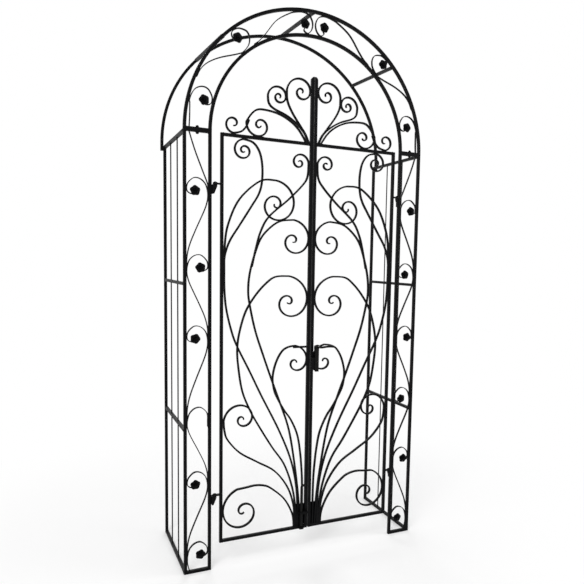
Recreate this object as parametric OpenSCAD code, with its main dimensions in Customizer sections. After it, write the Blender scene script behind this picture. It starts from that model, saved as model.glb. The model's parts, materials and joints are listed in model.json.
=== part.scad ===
// Rose arch with a double-leaf garden gate, of black wrought-iron bar.
// Millimetres, +Z up, the gate at the front (-Y). Built from ground level up.

/* [Frame] */
// Distance between the centres of the left and right outer posts
post_span = 1184; // [1000:2:1400]
// Distance between the centres of an outer post and the inner post beside it
band = 110; // [96:1:140]
// Distance between the centres of the front and back posts
depth = 485; // [350:1:700]
// Height of the posts, where the half-circle arches start
spring = 2000; // [1900:5:2200]
// Side of the square bar of the posts and arches
bar = 14; // [12:1:22]
// Side of the square bar of the side rails and of the roof bars
rail_bar = 14; // [10:1:20]
// Diameter of the thin upright rods of the side panels
rod_d = 6; // [5:0.5:10]
// Height of the middle side rail
mid_rail_z = 1334; // [1200:2:1500]
// Height of the lower side rail
low_rail_z = 675; // [500:2:900]
// Angle between the top roof bar and each side roof bar
roof_angle = 46; // [35:1:60]
// How far the legs of the back arch lap down over the back posts
arch_lap = 24; // [20:1:120]
// How much higher than the posts the half circle of the back arch starts
arch_lift = 16; // [0:1:30]
// Height of each flat of the two that meet at the head of a front side
tie_h = 10; // [6:1:14]
// Diameter of the stud that clamps the two head flats
stud_d = 12; // [8:1:16]
// Gap between the arches and what is fitted between them, filled by the weld
seam = 0.2; // [0.1:0.1:0.5]

/* [Crooks and roses] */
// Thickness of the strip that the crooks are bent from
strip_t = 4; // [3:0.5:6]
// Width of that strip, front to back
strip_w = 12; // [8:1:16]
// How far the highest rose of a front side is below the top of the posts
rose_drop = 288; // [240:2:400]
// Height of the lowest rose
low_rose_z = 87; // [75:1:120]
// Diameter over the petals of a rose
rose_d = 50; // [36:1:56]
// Thickness of the petals of a rose
rose_t = 5; // [3:0.5:8]

/* [Gate] */
// Gap between an inner post and the hinge stile beside it
side_gap = 35; // [28:1:60]
// Height of the underside of the gate above the ground
gate_z = 130; // [60:1:200]
// How far the top of the gate's top rail is below the top of the posts
top_drop = 3; // [0:1:40]
// Side of the square bar of the stiles and rails
leaf_bar = 14; // [12:1:18]
// Gap between the two leaves
leaf_gap = 5; // [5:0.5:12]
// How far the gate stands in front of the plane of the posts, centre to centre
gate_out = 16; // [14:0.5:24]
// Height of the meeting stiles above the top rail
crest_h = 300; // [285:1:330]
// Thickness of the bars of the scrollwork
scroll_t = 8; // [4:0.5:9]
// Width of the bars of the scrollwork, front to back
scroll_w = 12; // [8:1:14]
// Height of the plate that the scrolls gather on
plate_h = 108; // [50:1:150]
// Width of that plate
plate_w = 56; // [40:1:90]

/* [Hinges] */
// How far the upper hinge straps are below the top of the gate's top rail
hinge_drop = 226; // [120:1:500]
// Height of the lower hinge straps
hinge_low_z = 357; // [200:1:600]
// Height of a hinge bracket
bracket_h = 40; // [24:1:80]
// Length of a hinge bracket's foot, front to back
bracket_l = 29; // [24:1:34]
// Width of the head of a hinge bracket, front to back
bracket_w = 10; // [8:1:14]
// Diameter of the hinge pins
pin_d = 12; // [8:1:14]
// Thickness of a hinge strap
strap_t = 8; // [4:1:10]
// Thickness of the bracket's foot on the post
foot_t = 6; // [4:1:10]
// Distance from the bracket's foot to the axis of the pin
pin_out = 7; // [6:0.5:10]
// Gap around the pin in the eye of its strap
eye_gap = 0.5; // [0.2:0.1:1]
// Wall of the eye around the pin
eye_wall = 5; // [3:0.5:8]

/* [Latch] */
// Height of the spindle of the lever
lever_z = 1036; // [900:1:1150]
// Length of the lever from its spindle
lever_l = 72; // [60:1:110]
// Thickness of the lever
lever_t = 10; // [7:0.5:12]
// How far the lever stands out from the face plate
lever_out = 38; // [30:1:60]
// Height of the lock's face plate
face_h = 130; // [90:1:160]
// Width of the lock's face plate
face_w = 20; // [16:1:30]
// Thickness of the lock's face plate
face_t = 3; // [2:0.5:5]
// Depth of the lock case, front to back
case_d = 14; // [10:1:25]
// Height of the arm that holds the lock case to the stile
arm_h = 60; // [40:1:70]
// Gap between the meeting stile and the lock case
case_gap = 2; // [0:1:15]
// How far the face plate stands past the lock case at each end
face_lip = 4; // [2:0.5:8]
// Diameter of the keyhole
key_d = 8; // [6:0.5:12]
// Distance from the spindle down to the keyhole
key_drop = 76; // [50:1:95]
// Length of the catch strap on the left leaf
catch_l = 86; // [60:1:120]
// Height of the catch strap
catch_h = 10; // [6:0.5:14]
// Diameter of the drop bolt
bolt_d = 12; // [8:0.5:14]
// Height of the top of the drop bolt
bolt_top = 358; // [320:1:420]
// Length of the top of the drop bolt, bent over towards the meeting stile
bolt_grip = 28; // [20:1:40]
// Height of the upper guide of the drop bolt
guide_z = 210; // [200:1:225]
// Thickness of each guide
guide_t = 10; // [6:1:14]
// Wall of the guides around the bolt
guide_wall = 4; // [3:0.5:8]
// Gap between the left meeting stile and the drop bolt
bolt_side = 16; // [8:1:24]
// Gap between the drop bolt and its guides
bolt_gap = 0.6; // [0.3:0.1:1.5]

/* [Hidden] */
$fn = 48;

half = post_span / 2;
half_in = half - band;
gate_y = -gate_out;
front_y = gate_y - leaf_bar / 2 - case_d - face_t - lever_out;
back_y = depth + bar / 2;
// everything is set back so that the origin is under the middle of the whole
set_y = -(front_y + back_y) / 2;
pivot_x = half_in - bar / 2 - foot_t - pin_out;
stile_x = half_in - bar / 2 - side_gap - leaf_bar / 2;
rail_top = spring - top_drop;
gate_h = rail_top - gate_z;
hinge_top_z = rail_top - hinge_drop;
meet_x = leaf_gap / 2 + leaf_bar / 2;
top_rose_z = spring - rose_drop;
crook_pitch = (top_rose_z - low_rose_z) / 5;

// ---------- curves ----------

// points of a coil about c, from radius r0 at angle a0 to r1 at a1; it opens faster for a larger e
function coil(c, r0, r1, a0, a1, e = 1, n = 34) =
  [for (i = [0:n]) let (t = i / n, a = a0 + (a1 - a0) * t, r = r0 + (r1 - r0) * pow(t, e)) c + r * [cos(a), sin(a)]];

// one point of a smooth curve through four neighbours
function spline(a, b, c, d, t) =
  0.5 * (2 * b + (c - a) * t + (2 * a - 5 * b + 4 * c - d) * t * t + (3 * b - 3 * c + d - a) * t * t * t);

// a smooth curve through the points p, with k steps between neighbours
function smooth(p, k = 4) = let (n = len(p) - 1)
  [for (i = [0:n - 1]) for (j = [0:k - 1])
     spline(p[max(i - 1, 0)], p[i], p[i + 1], p[min(i + 2, n)], j / k), p[n]];

// a coil that runs on smoothly through the points s
function scroll(c, s) = let (m = len(c))
  concat([for (i = [0:m - 2]) c[i]], let (q = smooth(concat([c[m - 2], c[m - 1]], s))) [for (i = [4:len(q) - 1]) q[i]]);

// the outline of a bar of thickness t bent along the points p
function unit(v) = v / norm(v);
function side(p, i) = let (v = unit(p[min(i + 1, len(p) - 1)] - p[max(i - 1, 0)])) [-v[1], v[0]];
module bent(p, t) {
  n = len(p) - 1;
  polygon(concat([for (i = [0:n]) p[i] + side(p, i) * t / 2], [for (i = [n:-1:0]) p[i] - side(p, i) * t / 2]));
}

// a flat shape drawn in X and Z, w thick about the plane at y
module upright(y, w) translate([0, y + w / 2, 0]) rotate([90, 0, 0]) linear_extrude(w) children();

// what of a flat shape lies between the two posts of a side, or between the front arches
module in_posts() intersection() {
  children();
  translate([half_in + bar / 2, 0]) square([band - bar, spring]);
}
module in_arches() intersection() {
  children();
  difference() {
    translate([0, spring]) circle(r = half - bar / 2 - seam, $fn = 144);
    translate([0, spring]) circle(r = half_in + bar / 2 + seam, $fn = 144);
  }
  translate([0, spring]) square([half, half]);
}

// the right half as drawn for s = 1, mirrored for s = -1
module both(s) if (s > 0) children(); else mirror([1, 0, 0]) children();

module placed() translate([0, set_y, 0]) children();

// ---------- frame ----------

module post(x, y) translate([x - bar / 2, y - bar / 2, 0]) cube([bar, bar, spring]);

module half_ring(r, z, y) translate([0, y, z]) rotate([90, 0, 0]) translate([0, 0, -bar / 2])
  rotate_extrude(angle = 180, $fn = 144) translate([r - bar / 2, 0]) square([bar, bar]);

module outer_post_left() color("#17181a") placed() post(-half, 0);
module outer_post_right() color("#17181a") placed() post(half, 0);
module inner_post_left() color("#17181a") placed() post(-half_in, 0);
module inner_post_right() color("#17181a") placed() post(half_in, 0);
module back_post_left() color("#17181a") placed() post(-half, depth);
module back_post_right() color("#17181a") placed() post(half, depth);

module outer_arch() color("#1b1c1e") placed() half_ring(half, spring, 0);
module inner_arch() color("#1b1c1e") placed() half_ring(half_in, spring, 0);
module back_arch() color("#1b1c1e") placed() {
  r = half + bar;
  half_ring(r, spring + arch_lift, depth);
  for (s = [-1, 1]) translate([s * r - bar / 2, depth - bar / 2, spring - arch_lap]) cube([bar, bar, arch_lap + arch_lift]);
}

module ties() {
  upright(0, bar) {
    in_posts() translate([half_in, spring - tie_h]) square([band, tie_h]);
    in_arches() translate([half_in - bar, spring]) square([band + bar, tie_h]);
    in_posts() translate([half_in, 0]) square([band, bar]);
  }
  translate([half - band / 2, 0, spring - tie_h - 5]) cylinder(d = stud_d, h = 2 * tie_h + 10, $fn = 6);
}
module ties_left() color("#1b1c1e") placed() both(-1) ties();
module ties_right() color("#1b1c1e") placed() both(1) ties();

side_zs = [0, low_rail_z - rail_bar / 2, mid_rail_z - rail_bar / 2, spring - rail_bar];
module side_rails() for (z = side_zs)
  translate([half - rail_bar / 2, bar / 2, z]) cube([rail_bar, depth - bar, rail_bar]);
module side_rails_left() color("#1b1c1e") placed() both(-1) side_rails();
module side_rails_right() color("#1b1c1e") placed() both(1) side_rails();

module side_rods() for (k = [1, 2]) for (i = [0:2])
  translate([half, depth * k / 3, side_zs[i] + rail_bar]) cylinder(d = rod_d, h = side_zs[i + 1] - side_zs[i] - rail_bar);
module side_rods_left() color("#1b1c1e") placed() both(-1) side_rods();
module side_rods_right() color("#1b1c1e") placed() both(1) side_rods();

// a square bar between two points that differ mostly in y
module strut(p, q, w) {
  v = q - p;
  translate(p) rotate([0, 0, -atan2(v[0], v[1])]) rotate([atan2(v[2], norm([v[0], v[1]])), 0, 0])
    translate([-w / 2, 0, -w / 2]) cube([w, norm(v), w]);
}
module roof_bars() color("#1b1c1e") placed() intersection() {
  for (a = [-roof_angle, 0, roof_angle]) {
    d = [sin(a), 0, cos(a)];
    strut([0, 0, spring] + half * d, [0, depth, spring + arch_lift] + (half + bar) * d, rail_bar);
  }
  // the bars end flush on the two arches
  translate([-2 * half, bar / 2, spring]) cube([4 * half, depth - bar, 2 * half]);
}

// ---------- crooks: strips that rise across the band and curl over into a rose ----------

clear_in = bar / 2 + strip_t / 2;
// a crook's hook and its stem: the first value runs from the post that it curls to (0) to the
// other post (1), the second runs up the band from the rose
hook = let (k = (band - bar) / 94)
  [for (p = [[0.38, -6], [0.26, -14], [0.12, -11], [0.02, -2], [0.0, 14], [0.08, 34], [0.34, 54], [0.62, 52], [0.86, 34], [0.97, 8], [1, -20]]) [p[0], p[1] * k]];
function stem(rise) = [for (p = [[0.96, 0.14], [0.83, 0.25], [0.43, 0.5], [0.14, 0.7], [0.01, 0.86], [0.0, 1]]) [p[0], -p[1] * rise]];
// near is 1 for a crook that curls to the outer post and -1 for one that curls to the inner post
function across(u, near) = let (v = clear_in + u * (band - 2 * clear_in)) near > 0 ? v : band - v;
arc_r = half - band / 2;
// a place in the band of the arches, v in from the outer arch and s up from the posts
function polar(v, s) = let (a = s / arc_r * 180 / PI) [0, spring] + (half - v) * [cos(a), sin(a)];
function in_band(v, s) = s > 0 ? polar(v, s) : [half - v, spring + s];
function crook_at(s, near, stem_pts, head = hook) = smooth([for (p = concat(head, stem_pts)) in_band(across(p[0], near), s + p[1])], 3);

function rose_s(i) = top_rose_z - i * crook_pitch - spring;
// the left side's roses hang a little off the even spacing, and its fourth crook has lost its curl and rose
left_lift = [28, 19, 28, -17, 9, 0];
lost = 3;
stub = [for (p = concat([[0, -34], [0, -10]], [for (i = [4:len(hook) - 1]) hook[i]])) p];
function rose_v(near) = across(0.375, near);
function arc_s(a) = arc_r * a * PI / 180;
// angles of the roses round the arch, from the posts up
rose_a = [14, 48.5, 84.8];

// the crook above the highest rose passes through the head flats: its stem starts on the arch
first_rise = rose_drop + arc_s(rose_a[0]);
first_stem = [for (p = [[0.96, 0.07], [0.88, 0.2], [0.88, 0.32], [0.82, 0.38], [0.58, 0.54], [0.23, 0.735], [0.01, 0.86], [0, 0.94]]) [p[0], -p[1] * first_rise]];
module first_crook() bent(crook_at(arc_s(rose_a[0]), -1, first_stem), strip_t);
// the lowest crook stands on the foot tie
low_stem = let (d = -spring - rose_s(5)) [[0.98, (d + bar) * 0.6], [0.9, d + bar - 1]];
module crooks(lift, gone) upright(0, strip_w) {
  for (i = [0:4]) in_posts() bent(crook_at(rose_s(i) + lift[i], i % 2 == 0 ? 1 : -1, stem(crook_pitch + lift[i] - lift[i + 1]), i == gone ? stub : hook), strip_t);
  intersection() {
    in_posts() bent(crook_at(rose_s(5), -1, low_stem), strip_t);
    translate([half_in, bar]) square([band, spring]);
  }
  intersection() {
    in_posts() first_crook();
    square([half, spring - tie_h]);
  }
}

// the last crook of each side curls down over its rose and meets its twin at the top
apex = [for (p = [[85.3, 0.7], [84.3, 0.86], [86.2, 1], [88.4, 0.84], [89.25, 0.56], [88.7, 0.3], [87.3, 0.1], [84.6, 0], [81, 0.02], [77.5, 0.1], [70.4, 0.36], [62.3, 0.82], [58, 0.97], [54.6, 1]])
  polar(across(p[1], 1), arc_s(p[0]))];
module arch_side() {
  intersection() {
    in_arches() first_crook();
    translate([0, spring + tie_h]) square([half, half]);
  }
  in_arches() bent(crook_at(arc_s(rose_a[1]), 1, stem(arc_s(26))), strip_t);
  in_arches() bent(smooth(apex, 3), strip_t);
}

module crooks_left() color("#202124") placed() both(-1) crooks(left_lift, lost);
module crooks_right() color("#202124") placed() both(1) crooks([0, 0, 0, 0, 0, 0], -1);
module crooks_arch() color("#202124") placed() upright(0, strip_w) { arch_side(); mirror([1, 0]) arch_side(); }

module rose() {
  r = rose_d / 2;
  linear_extrude(rose_t) union() {
    circle(r = r * 0.52);
    for (i = [0:4]) rotate(72 * i + 18) translate([r * 0.6, 0]) circle(r = r * 0.4);
  }
  translate([0, 0, rose_t]) cylinder(d1 = rose_d * 0.36, d2 = rose_d * 0.22, h = 4);
}
// a rose on the front of the strips
module rose_at(p) translate([p[0], -strip_w / 2, p[1]]) rotate([90, 0, 0]) rose();
module roses(lift, gone) for (i = [0:5]) if (i != gone) rose_at(in_band(rose_v(i % 2 == 0 ? 1 : -1), rose_s(i) + lift[i]));
module roses_left() color("#26272a") placed() both(-1) roses(left_lift, lost);
module roses_right() color("#26272a") placed() both(1) roses([0, 0, 0, 0, 0, 0], -1);
module roses_arch() color("#26272a") placed() for (s = [-1, 1]) both(s) {
  rose_at(polar(rose_v(-1), arc_s(rose_a[0])));
  rose_at(polar(rose_v(1), arc_s(rose_a[1])));
  rose_at(polar(across(0.58, 1), arc_s(rose_a[2])));
}

// ---------- hinges ----------

module bracket(z) {
  foot_x = half_in - bar / 2 - foot_t;
  head_x = pivot_x - pin_d / 2 - 2;
  translate([foot_x, gate_y - bracket_w / 2 - 2, z - bracket_h]) cube([foot_t, bracket_l, bracket_h]);
  upright(gate_y, bracket_w) polygon([[foot_x, z - bracket_h], [foot_x, z], [head_x, z], [head_x, z - 8], [foot_x - 2, z - bracket_h]]);
  translate([pivot_x, gate_y, z - 1]) cylinder(d = pin_d, h = strap_t + 5);
}
module brackets() for (z = [hinge_top_z, hinge_low_z]) bracket(z);
module brackets_left() color("#1b1c1e") placed() both(-1) brackets();
module brackets_right() color("#1b1c1e") placed() both(1) brackets();

module strap(z) translate([0, 0, z]) difference() {
  union() {
    translate([pivot_x, gate_y, 0.5]) cylinder(d = pin_d + 2 * eye_wall, h = strap_t - 0.5);
    translate([stile_x + leaf_bar / 2, gate_y - leaf_bar / 2, 0.5]) cube([pivot_x - stile_x - leaf_bar / 2, leaf_bar, strap_t - 0.5]);
  }
  translate([pivot_x, gate_y, -1]) cylinder(d = pin_d + 2 * eye_gap, h = strap_t + 2);
}
module straps() for (z = [hinge_top_z, hinge_low_z]) strap(z);
module left_straps() color("#1b1c1e") placed() both(-1) straps();
module right_straps() color("#1b1c1e") placed() both(1) straps();

// ---------- gate leaves ----------

module hinge_stile() translate([stile_x - leaf_bar / 2, gate_y - leaf_bar / 2, gate_z]) cube([leaf_bar, leaf_bar, gate_h]);
module left_hinge_stile() color("#17181a") placed() both(-1) hinge_stile();
module right_hinge_stile() color("#17181a") placed() both(1) hinge_stile();

// the two meeting stiles end in one dome between them
module meeting_stile() upright(gate_y, leaf_bar) {
  r = leaf_gap / 2 + leaf_bar;
  top = rail_top + crest_h - r;
  polygon(concat([[leaf_gap / 2, gate_z], [r, gate_z]],
    [for (a = [0:10:80]) [r * cos(a), top + r * sin(a)]],
    [[leaf_gap / 2, top + sqrt(r * r - leaf_gap * leaf_gap / 4)]]));
}
module left_meeting_stile() color("#17181a") placed() both(-1) meeting_stile();
module right_meeting_stile() color("#17181a") placed() both(1) meeting_stile();

module rails() for (z = [gate_z, rail_top - leaf_bar])
  translate([meet_x + leaf_bar / 2, gate_y - leaf_bar / 2, z]) cube([stile_x - meet_x - leaf_bar, leaf_bar, leaf_bar]);
module left_rails() color("#17181a") placed() both(-1) rails();
module right_rails() color("#17181a") placed() both(1) rails();

// The scrollwork is drawn on a grid of 404 by 1835, from the hinge stile (0) to the meeting
// stile (404) and from the bottom rail up, and fitted between the bars of the leaf.
grid = [404, 1835];
field = [stile_x - meet_x - leaf_bar - scroll_t, gate_h - 2 * leaf_bar - scroll_t];
function fit(p) = [stile_x - leaf_bar / 2 - scroll_t / 2 - p[0] * field[0] / grid[0], gate_z + leaf_bar + scroll_t / 2 + p[1] * field[1] / grid[1]];
function fits(p) = [for (q = p) fit(q)];

scroll_a = scroll(coil([88, 1786], 7, 49, 290, -270, 1.2), [[132, 1824], [162, 1785], [175, 1725], [174, 1655], [160, 1600], [125, 1541], [71, 1455], [27, 1385], [6, 1328], [0, 1285]]);
scroll_b = scroll(coil([241, 1556], 7, 110, -180, 450, 1.5), [[165, 1657], [70, 1571], [18, 1456], [3, 1360], [1, 1250], [3, 1150], [12, 1070], [36, 973], [62, 904], [122, 785], [181, 664], [271, 488], [334, 334], [366, 181], [374, -3]]);
scroll_c = scroll(coil([356, 1757], 7, 46, 120, -360, 1.3), [[397, 1694], [371, 1652], [303, 1583], [210, 1501], [170, 1430], [147, 1349], [130, 1270]]);
scroll_d = scroll(coil([331, 1394], 7, 97, -90, 450, 1.5), [[266, 1482], [220, 1454], [175, 1405], [147, 1340], [120, 1240], [113, 1156], [122, 1087], [149, 971], [189, 853], [229, 742], [270, 634], [322, 484], [358, 282], [378, 120], [385, -3]]);
scroll_e = scroll(coil([311, 1106], 7, 122, -135, 450, 1.8), [[244, 1224], [199, 1194], [148, 1138], [102, 1064], [74, 973], [63, 894], [68, 811], [88, 693], [127, 597], [167, 524], [236, 411], [301, 314], [346, 184], [364, 60], [368, -3]]);
scroll_f = scroll(coil([349, 815], 7, 81, 10, 450, 1.7), [[310, 890], [280, 870], [252, 820], [236, 752], [243, 690], [262, 644], [296, 585], [331, 535], [364, 462], [380, 383], [390, 292], [395, 200], [397, -3]]);
scroll_g = scroll(coil([88, 560], 7, 87, 0, 540, 1.7), [[5, 512], [20, 468], [77, 402], [164, 346], [250, 291], [316, 205], [350, 108], [361, -3]]);
scroll_h = scroll(coil([95, 114], 7, 115, 300, -255, 1.4), [[110, 229], [152, 233], [195, 227], [233, 208], [302, 144], [345, 62], [354, -3]]);

module scrolls() upright(gate_y, scroll_w) intersection() {
  for (p = [scroll_a, scroll_b, scroll_c, scroll_d, scroll_e, scroll_f, scroll_g, scroll_h]) bent(fits(p), scroll_t);
  translate([meet_x + leaf_bar / 2, gate_z + leaf_bar]) square([stile_x - meet_x - leaf_bar, gate_h - 2 * leaf_bar]);
}
module left_scrolls() color("#202124") placed() both(-1) scrolls();
module right_scrolls() color("#202124") placed() both(1) scrolls();

// The crest is drawn on the same grid, from the top rail up.
function fit_up(p) = [fit(p)[0], rail_top + scroll_t / 2 + p[1] * (crest_h - 35) / 265];
crest_1 = scroll(coil([40, 41], 9, 41, -75, 270, 1.1), [[75, 10], [98, 34], [111, 64]]);
crest_2 = scroll(coil([160, 46], 7, 62, 330, -190, 1.5), [[122, 92], [150, 114], [190, 117], [250, 108], [305, 84], [350, 48], [386, -3]]);
crest_3 = scroll(coil([251, 184], 7, 53, -30, 540, 1.5), [[203, 150], [227, 128], [288, 105], [342, 72], [377, 37], [397, -3]]);
crest_4 = scroll(coil([360, 220], 7, 71, -20, 540, 1.45), [[292, 172], [315, 124], [354, 70], [382, 33], [400, -3]]);
module crest() upright(gate_y, scroll_w) intersection() {
  for (p = [crest_1, crest_2, crest_3, crest_4]) bent([for (q = p) fit_up(q)], scroll_t);
  translate([meet_x + leaf_bar / 2, rail_top]) square([half, crest_h]);
}
module left_crest() color("#202124") placed() both(-1) crest();
module right_crest() color("#202124") placed() both(1) crest();

// the plate behind the scrolls' feet
module plate() translate([meet_x + leaf_bar / 2, gate_y + scroll_w / 2, gate_z + leaf_bar]) cube([plate_w, 3, plate_h]);
module left_plate() color("#1b1c1e") placed() both(-1) plate();
module right_plate() color("#1b1c1e") placed() both(1) plate();

// ---------- latch, lock and drop bolt ----------

leaf_front = gate_y - leaf_bar / 2;
lever_x = meet_x + leaf_bar / 2 + case_gap + face_w / 2;
case_y = leaf_front - case_d;
// the lever turns near the top of the face plate
face_z = lever_z + 2 * face_lip - face_h;
// a strap across the front of the left leaf, level with the lever
module left_catch() color("#1b1c1e") placed() both(-1)
  translate([leaf_gap / 2 + 2, leaf_front - face_t, lever_z - catch_h / 2]) cube([catch_l, face_t, catch_h]);

// the case stands on the front of the leaf, held by an arm on the meeting stile
module lock_case() color("#1b1c1e") placed() {
  translate([lever_x - face_w / 2, case_y, face_z + face_lip]) cube([face_w, case_d, face_h - 2 * face_lip]);
  translate([meet_x - leaf_bar / 2 + 1, case_y, face_z + 2 * face_lip]) cube([lever_x - meet_x + leaf_bar / 2 - 1, case_d, arm_h]);
}
module lock_face() color("#26272a") placed() difference() {
  translate([lever_x - face_w / 2, case_y - face_t, face_z]) cube([face_w, face_t, face_h]);
  translate([lever_x, case_y + 1, lever_z - key_drop]) rotate([90, 0, 0]) cylinder(d = key_d, h = face_t + 2);
}
module lever() color("#2b2b28") placed() {
  y = case_y - face_t;
  translate([lever_x, y - 0.3, lever_z]) rotate([90, 0, 0]) cylinder(d = lever_t + 5, h = 5);
  translate([lever_x, y - 0.3, lever_z]) rotate([90, 0, 0]) cylinder(d = lever_t, h = lever_out - lever_t / 2 - 0.3);
  translate([lever_x, y - lever_out + lever_t / 2, lever_z]) {
    sphere(d = lever_t);
    rotate([0, 90, 0]) cylinder(d = lever_t, h = lever_l);
    translate([lever_l, 0, 0]) sphere(d = lever_t);
  }
}

bolt_x = -(meet_x + leaf_bar / 2 + bolt_d / 2 + bolt_side);
bolt_y = leaf_front - bolt_d / 2 - 5;
// a guide from x0 to x1 at height z, standing on the front of the leaf
module guide(x0, x1, z) difference() {
  translate([x0, bolt_y - bolt_d / 2 - guide_wall, z]) cube([x1 - x0, leaf_front - bolt_y + bolt_d / 2 + guide_wall, guide_t]);
  translate([bolt_x, bolt_y, z - 1]) cylinder(d = bolt_d + 2 * bolt_gap, h = guide_t + 2);
}
guide_r = bolt_d / 2 + guide_wall;
low_guide_z = gate_z + leaf_bar - guide_t;
module bolt_guides() color("#1b1c1e") placed() {
  guide(bolt_x - guide_r, bolt_x + guide_r, low_guide_z);
  guide(bolt_x - guide_r, -leaf_gap / 2, guide_z);
}
module drop_bolt() color("#26272a") placed() {
  translate([bolt_x, bolt_y, low_guide_z + 1]) cylinder(d = bolt_d, h = bolt_top - bolt_d / 2 - low_guide_z - 1);
  translate([bolt_x, bolt_y, bolt_top - bolt_d / 2]) {
    sphere(d = bolt_d);
    rotate([0, 90, 0]) cylinder(d = bolt_d, h = bolt_grip - bolt_d / 2);
  }
}

outer_post_left();
outer_post_right();
inner_post_left();
inner_post_right();
back_post_left();
back_post_right();
outer_arch();
inner_arch();
back_arch();
ties_left();
ties_right();
side_rails_left();
side_rails_right();
side_rods_left();
side_rods_right();
roof_bars();
crooks_left();
crooks_right();
crooks_arch();
roses_left();
roses_right();
roses_arch();
brackets_left();
brackets_right();
left_hinge_stile();
left_meeting_stile();
left_rails();
left_scrolls();
left_crest();
left_straps();
left_plate();
left_catch();
bolt_guides();
drop_bolt();
right_hinge_stile();
right_meeting_stile();
right_rails();
right_scrolls();
right_crest();
right_straps();
right_plate();
lock_case();
lock_face();
lever();
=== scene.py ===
"""The looks of the garden gate with rose arch: forged bars, scrolls, roses, welds and fittings."""

import json
import math

import bmesh
import bpy
from mathutils import Matrix, Vector


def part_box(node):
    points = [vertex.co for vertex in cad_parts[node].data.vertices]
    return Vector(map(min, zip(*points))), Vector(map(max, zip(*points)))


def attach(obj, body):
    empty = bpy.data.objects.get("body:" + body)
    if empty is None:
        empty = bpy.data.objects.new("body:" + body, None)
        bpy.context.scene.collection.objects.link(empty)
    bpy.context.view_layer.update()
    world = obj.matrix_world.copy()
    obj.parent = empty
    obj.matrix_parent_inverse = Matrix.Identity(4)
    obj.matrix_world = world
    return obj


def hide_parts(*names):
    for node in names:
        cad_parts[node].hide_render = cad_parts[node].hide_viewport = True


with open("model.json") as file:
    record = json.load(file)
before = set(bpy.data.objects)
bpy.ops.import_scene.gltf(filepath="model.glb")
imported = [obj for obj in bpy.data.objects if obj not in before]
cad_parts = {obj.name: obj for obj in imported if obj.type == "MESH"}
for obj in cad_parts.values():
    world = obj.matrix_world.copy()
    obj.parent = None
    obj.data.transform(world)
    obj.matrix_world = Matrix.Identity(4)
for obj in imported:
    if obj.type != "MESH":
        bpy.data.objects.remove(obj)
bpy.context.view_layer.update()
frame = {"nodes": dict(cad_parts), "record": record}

NODES = frame["nodes"]
JOINTS = {j["name"]: j for j in frame["record"]["behaviour"]["joints"]}
SIDES = {"left": -1, "right": 1}
MM = 0.001  # metres in a millimetre


def lo_hi(node):
    lo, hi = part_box(node)
    return Vector(lo), Vector(hi)


# ---------------------------------------------------------------- materials


class Nodes:
    """Short calls for building one node tree."""

    def __init__(self, name):
        self.mat = bpy.data.materials.new(name)
        self.mat.use_nodes = True
        self.tree = self.mat.node_tree
        self.shader = self.tree.nodes["Principled BSDF"]
        self.coord = self.add("ShaderNodeTexCoord").outputs["Object"]

    def add(self, kind, **values):
        node = self.tree.nodes.new(kind)
        for key, value in values.items():
            setattr(node, key, value)
        return node

    def link(self, a, b):
        self.tree.links.new(a, b)

    def mapped(self, scale):
        node = self.add("ShaderNodeMapping")
        node.inputs["Scale"].default_value = scale
        self.link(self.coord, node.inputs["Vector"])
        return node.outputs["Vector"]

    def noise(self, scale, detail, rough, stretch=None):
        node = self.add("ShaderNodeTexNoise")
        node.inputs["Scale"].default_value = scale
        node.inputs["Detail"].default_value = detail
        node.inputs["Roughness"].default_value = rough
        self.link(self.mapped(stretch) if stretch else self.coord, node.inputs["Vector"])
        return node.outputs["Fac"]

    def cells(self, scale):
        node = self.add("ShaderNodeTexVoronoi", feature="SMOOTH_F1")
        node.inputs["Scale"].default_value = scale
        node.inputs["Smoothness"].default_value = 1.0
        self.link(self.coord, node.inputs["Vector"])
        return node.outputs["Distance"]

    def ramp(self, value, *stops):
        node = self.add("ShaderNodeValToRGB")
        elements = node.color_ramp.elements
        while len(elements) < len(stops):
            elements.new(0.5)
        for element, (place, colour) in zip(elements, stops):
            element.position = place
            element.color = (colour, colour, colour, 1.0)
        self.link(value, node.inputs["Fac"])
        return node.outputs["Color"]

    def mix(self, factor, a, b, mode="MIX"):
        """A blend of two values; each may be a number, a colour or another node's socket."""
        node = self.add("ShaderNodeMix", data_type="RGBA", blend_type=mode)
        sockets = [s for s in node.inputs if s.enabled]
        for socket, value in zip(sockets, (factor, a, b)):
            if isinstance(value, (int, float)):
                socket.default_value = value if socket.type == "VALUE" else (value, value, value, 1.0)
            elif isinstance(value, tuple):
                socket.default_value = (*value, 1.0)
            else:
                self.link(value, socket)
        return [s for s in node.outputs if s.enabled][0]

    def bump(self, height, strength, distance, under=None):
        node = self.add("ShaderNodeBump")
        node.inputs["Strength"].default_value = strength
        node.inputs["Distance"].default_value = distance
        self.link(height, node.inputs["Height"])
        if under is not None:
            self.link(under, node.inputs["Normal"])
        return node.outputs["Normal"]


DUST = (0.008, 0.0078, 0.0074)


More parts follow.
